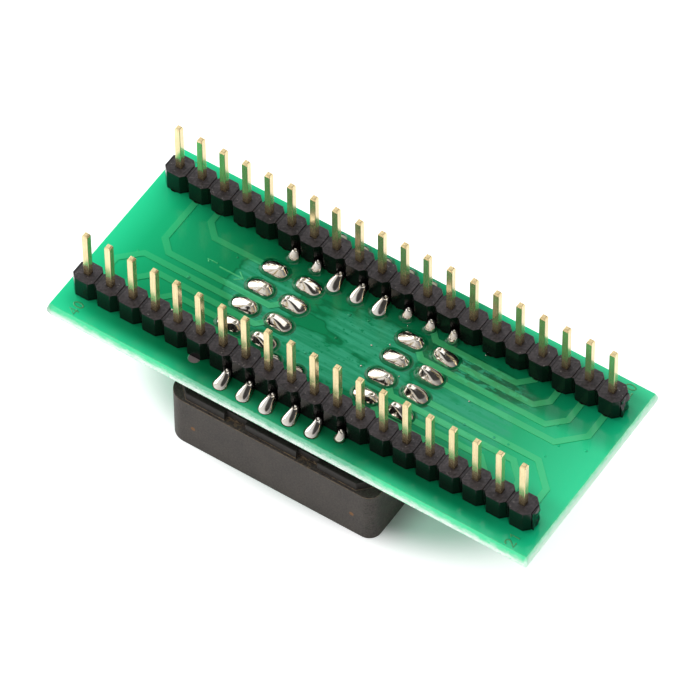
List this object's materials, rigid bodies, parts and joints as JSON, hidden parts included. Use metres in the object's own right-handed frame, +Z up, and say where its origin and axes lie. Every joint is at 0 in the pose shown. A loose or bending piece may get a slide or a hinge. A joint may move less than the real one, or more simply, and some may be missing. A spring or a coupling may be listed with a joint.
{
  "type": "ic programming adapter",
  "caption": "Green adapter board on a square chip socket, with rows of gilt header pins upright along its long sides and solder joints between them.",
  "frame": {"origin": "on the table under the middle of the object's box; the socket's rim lies on z = 0", "axes": "+X along the header rows, +Y towards the row that holds pin one, +Z up along the header pins"},
  "size_m": [0.0534, 0.0232, 0.0181],
  "materials": {
    "board_mask": "glossy green solder mask on glass fibre board, pale at the snapped edges",
    "track_mask": "green mask over copper, a little lighter than the board",
    "tinned_pad": "tinned copper",
    "strip_plastic": "satin black moulding",
    "gilt": "pale gilt plating",
    "socket_plastic": "satin dark brown moulding",
    "contact_metal": "tin plated spring strip",
    "solder": "bright solder"
  },
  "bodies": {
    "root": {"circuit_board": "board_mask", "pin_side_tracks": "track_mask", "pin_side_pads": "tinned_pad", "socket_side_tracks": "track_mask", "socket_side_pads": "tinned_pad", "front_header_strip": "strip_plastic", "rear_header_strip": "strip_plastic", "socket_body": "socket_plastic", "front_contacts": "contact_metal", "rear_contacts": "contact_metal", "left_contacts": "contact_metal", "right_contacts": "contact_metal", "front_socket_solder": "solder", "rear_socket_solder": "solder", "left_socket_solder": "solder", "right_socket_solder": "solder", "front_header_solder": "solder", "rear_header_solder": "solder", "header_pin_01": "gilt", "header_pin_02": "gilt", "header_pin_03": "gilt", "header_pin_04": "gilt", "header_pin_05": "gilt", "header_pin_06": "gilt", "header_pin_07": "gilt", "header_pin_08": "gilt", "header_pin_09": "gilt", "header_pin_10": "gilt", "header_pin_11": "gilt", "header_pin_12": "gilt", "header_pin_13": "gilt", "header_pin_14": "gilt", "header_pin_15": "gilt", "header_pin_16": "gilt", "header_pin_17": "gilt", "header_pin_18": "gilt", "header_pin_19": "gilt", "header_pin_20": "gilt", "header_pin_21": "gilt", "header_pin_22": "gilt", "header_pin_23": "gilt", "header_pin_24": "gilt", "header_pin_25": "gilt", "header_pin_26": "gilt", "header_pin_27": "gilt", "header_pin_28": "gilt", "header_pin_29": "gilt", "header_pin_30": "gilt", "header_pin_31": "gilt", "header_pin_32": "gilt", "header_pin_33": "gilt", "header_pin_34": "gilt", "header_pin_35": "gilt", "header_pin_36": "gilt", "header_pin_37": "gilt", "header_pin_38": "gilt", "header_pin_39": "gilt", "header_pin_40": "gilt"}
  },
  "joints": []
}
